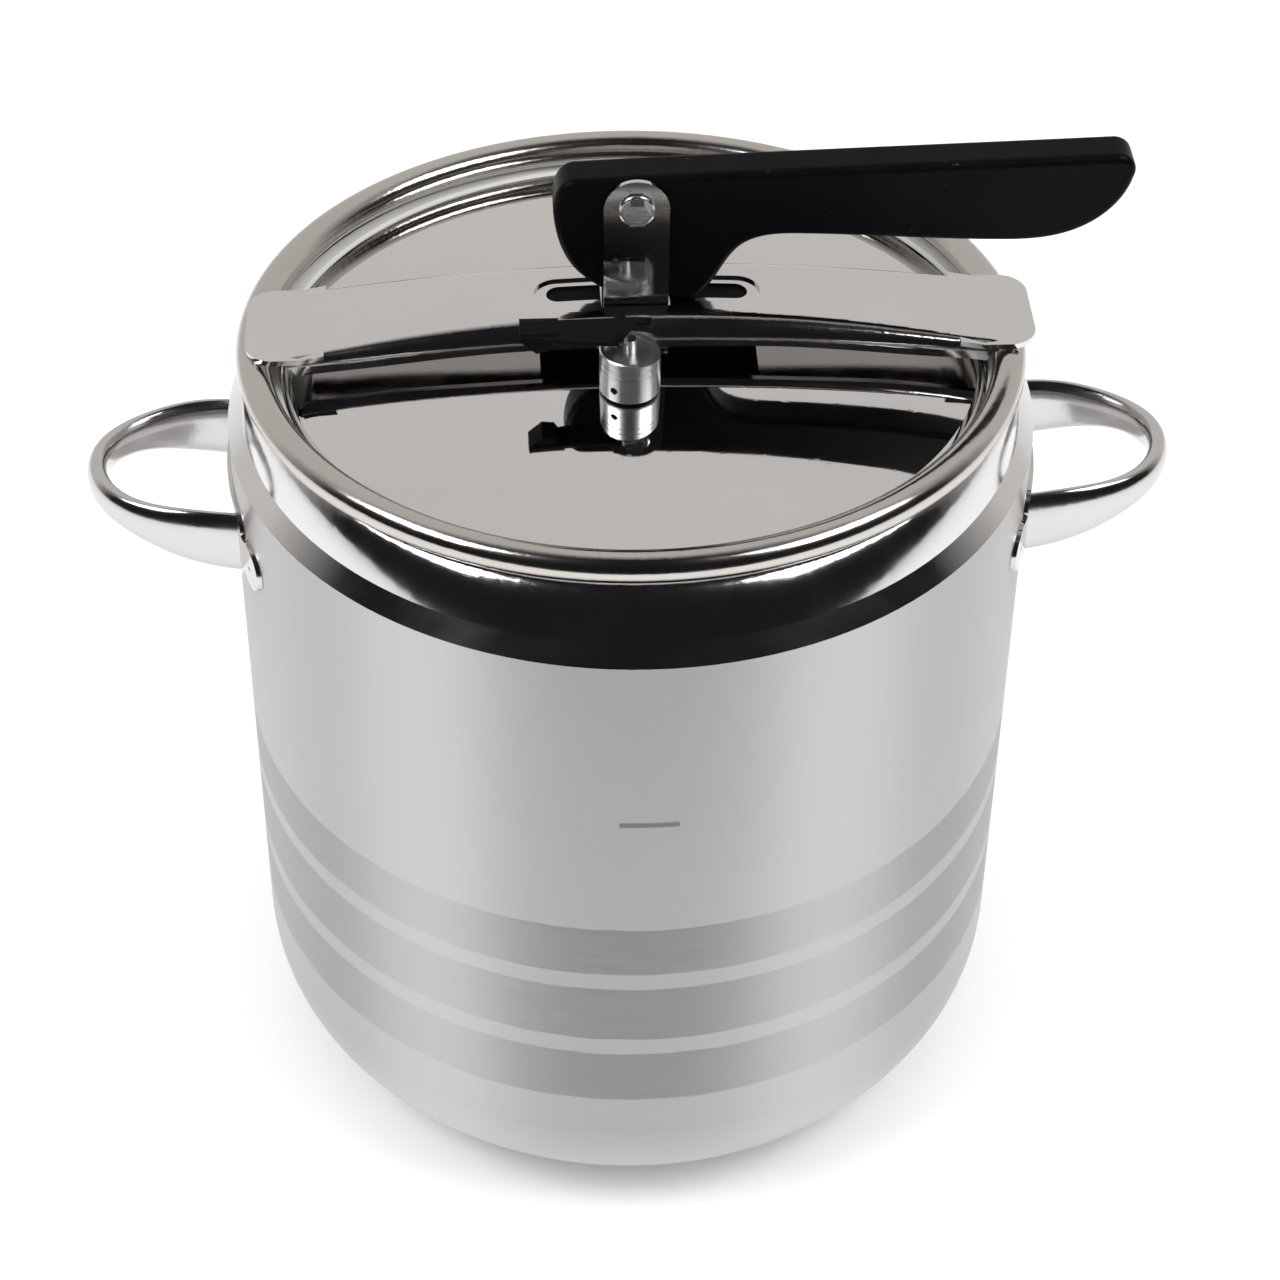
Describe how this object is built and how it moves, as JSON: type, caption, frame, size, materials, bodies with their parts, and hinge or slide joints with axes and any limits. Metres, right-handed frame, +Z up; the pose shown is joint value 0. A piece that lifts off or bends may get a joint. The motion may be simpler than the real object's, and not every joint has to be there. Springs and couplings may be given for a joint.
{
  "type": "pressure canner",
  "caption": "Tall steel stock-pot pressure canner whose oval inner lid is drawn up against a bridge bar by a cam lever.",
  "frame": {"origin": "centre of the base underside", "axes": "+Z up; +X along the bridge bar towards the lever's grip; the release valve is on the -Y side"},
  "size_m": [0.355, 0.26, 0.3527],
  "materials": {
    "steel_body": "satin with brushed bands and a polished shoulder",
    "steel_polished": "mirror-polished stainless steel",
    "steel_turned": "bright turned",
    "steel_fastener": "bright zinc or stainless",
    "aluminium_core": "plain",
    "brass_valve": "turned",
    "brass_bush": "turned",
    "silicone": "soft matte",
    "phenolic_black": "moulded phenolic, soft sheen",
    "nylon_black": "moulded"
  },
  "bodies": {
    "root": {"pot_wall": "steel_body", "pot_bottom": "steel_body", "slot_guide": "nylon_black", "pot_shoulder": "steel_body", "pot_rim": "steel_body", "base_core": "aluminium_core", "base_cap": "steel_body", "side_handle_left": "steel_polished", "side_handle_right": "steel_polished", "handle_plate_left": "steel_polished", "handle_plate_right": "steel_polished", "bridge_bar": "steel_polished"},
    "lid": {"lid_pan": "steel_polished", "lid_gasket": "silicone", "lid_bracket": "steel_polished", "bracket_stud": "steel_fastener", "pivot_bolt": "steel_fastener", "pivot_washer": "steel_fastener", "pivot_nut": "steel_fastener", "vent_pipe": "brass_valve", "vent_washer": "silicone", "vent_nut": "brass_valve", "valve_body": "steel_turned", "valve_spring": "steel_fastener", "safety_body": "brass_valve", "safety_washer": "silicone", "safety_nut": "brass_valve"},
    "lever": {"cam_lever": "phenolic_black", "lever_bush": "brass_bush"},
    "needle": {"valve_needle": "steel_turned", "valve_pin": "steel_fastener"},
    "release_tab": {"valve_lever": "nylon_black"},
    "plunger": {"safety_plunger": "steel_turned"}
  },
  "joints": [
    {"name": "lid_drop", "type": "slide", "parent": "root", "child": "lid", "axis": [0, 0, -1], "range_m": [0, 0.0091]},
    {"name": "lever_swing", "type": "hinge", "parent": "lid", "child": "lever", "pos_m": [0.001, 0.002, 0.3383], "axis": [0, -1, 0], "range_deg": [0, 90]},
    {"name": "needle_lift", "type": "slide", "parent": "lid", "child": "needle", "axis": [0, 0, 1], "range_m": [0, 0.003], "deforming": ["valve_spring"]},
    {"name": "tab_tilt", "type": "hinge", "parent": "needle", "child": "release_tab", "pos_m": [-0.0048, -0.029, 0.3088], "axis": [0, 1, 0], "range_deg": [0, 26]},
    {"name": "plunger_rise", "type": "slide", "parent": "lid", "child": "plunger", "axis": [0, 0, 1], "range_m": [0, 0.002], "stiffness_N_per_m": 800, "springref_m": -0.002}
  ],
  "couplings": [
    {"joint": "lid_drop", "follows": "lever_swing", "m_per_rad": 0.0057296},
    {"joint": "tab_tilt", "follows": "needle_lift", "rad_per_m": 145.44}
  ]
}
